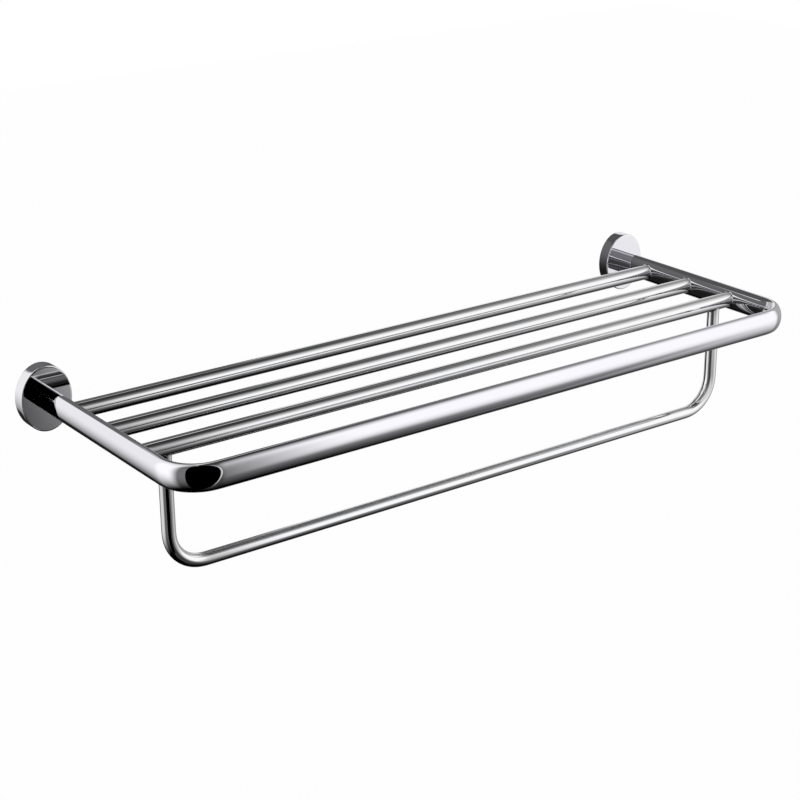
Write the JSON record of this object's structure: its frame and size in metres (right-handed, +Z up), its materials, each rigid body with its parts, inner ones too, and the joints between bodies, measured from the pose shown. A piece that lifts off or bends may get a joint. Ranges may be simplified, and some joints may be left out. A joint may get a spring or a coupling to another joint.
{
  "type": "towel rack",
  "caption": "Wall-mounted chrome towel shelf: oval-tube frame with round cross rails and a lower hanging bar, on oval wall flanges.",
  "frame": {"origin": "on the wall surface, midway between the two flanges, at their centre height", "axes": "+X along the rails to the right as seen from the room, +Y into the wall, +Z up"},
  "size_m": [0.6, 0.21, 0.1205],
  "materials": {
    "chrome": "polished chrome plate on brass",
    "zinc": "die-cast zinc, dull and unplated",
    "brass": "machined brass, plain",
    "black_steel": "black-oxide steel",
    "steel": "bright zinc plate on steel"
  },
  "bodies": {
    "root": {"frame_tube": "chrome", "rail_back": "chrome", "rail_middle": "chrome", "rail_front": "chrome", "towel_bar": "chrome", "left_flange_cup": "chrome", "right_flange_cup": "chrome", "left_wall_bracket": "zinc", "right_wall_bracket": "zinc", "left_arm_insert": "brass", "right_arm_insert": "brass", "left_arm_bolt": "black_steel", "right_arm_bolt": "black_steel", "left_bolt_washer": "steel", "right_bolt_washer": "steel", "left_grub_screw": "black_steel", "right_grub_screw": "black_steel"}
  },
  "joints": []
}
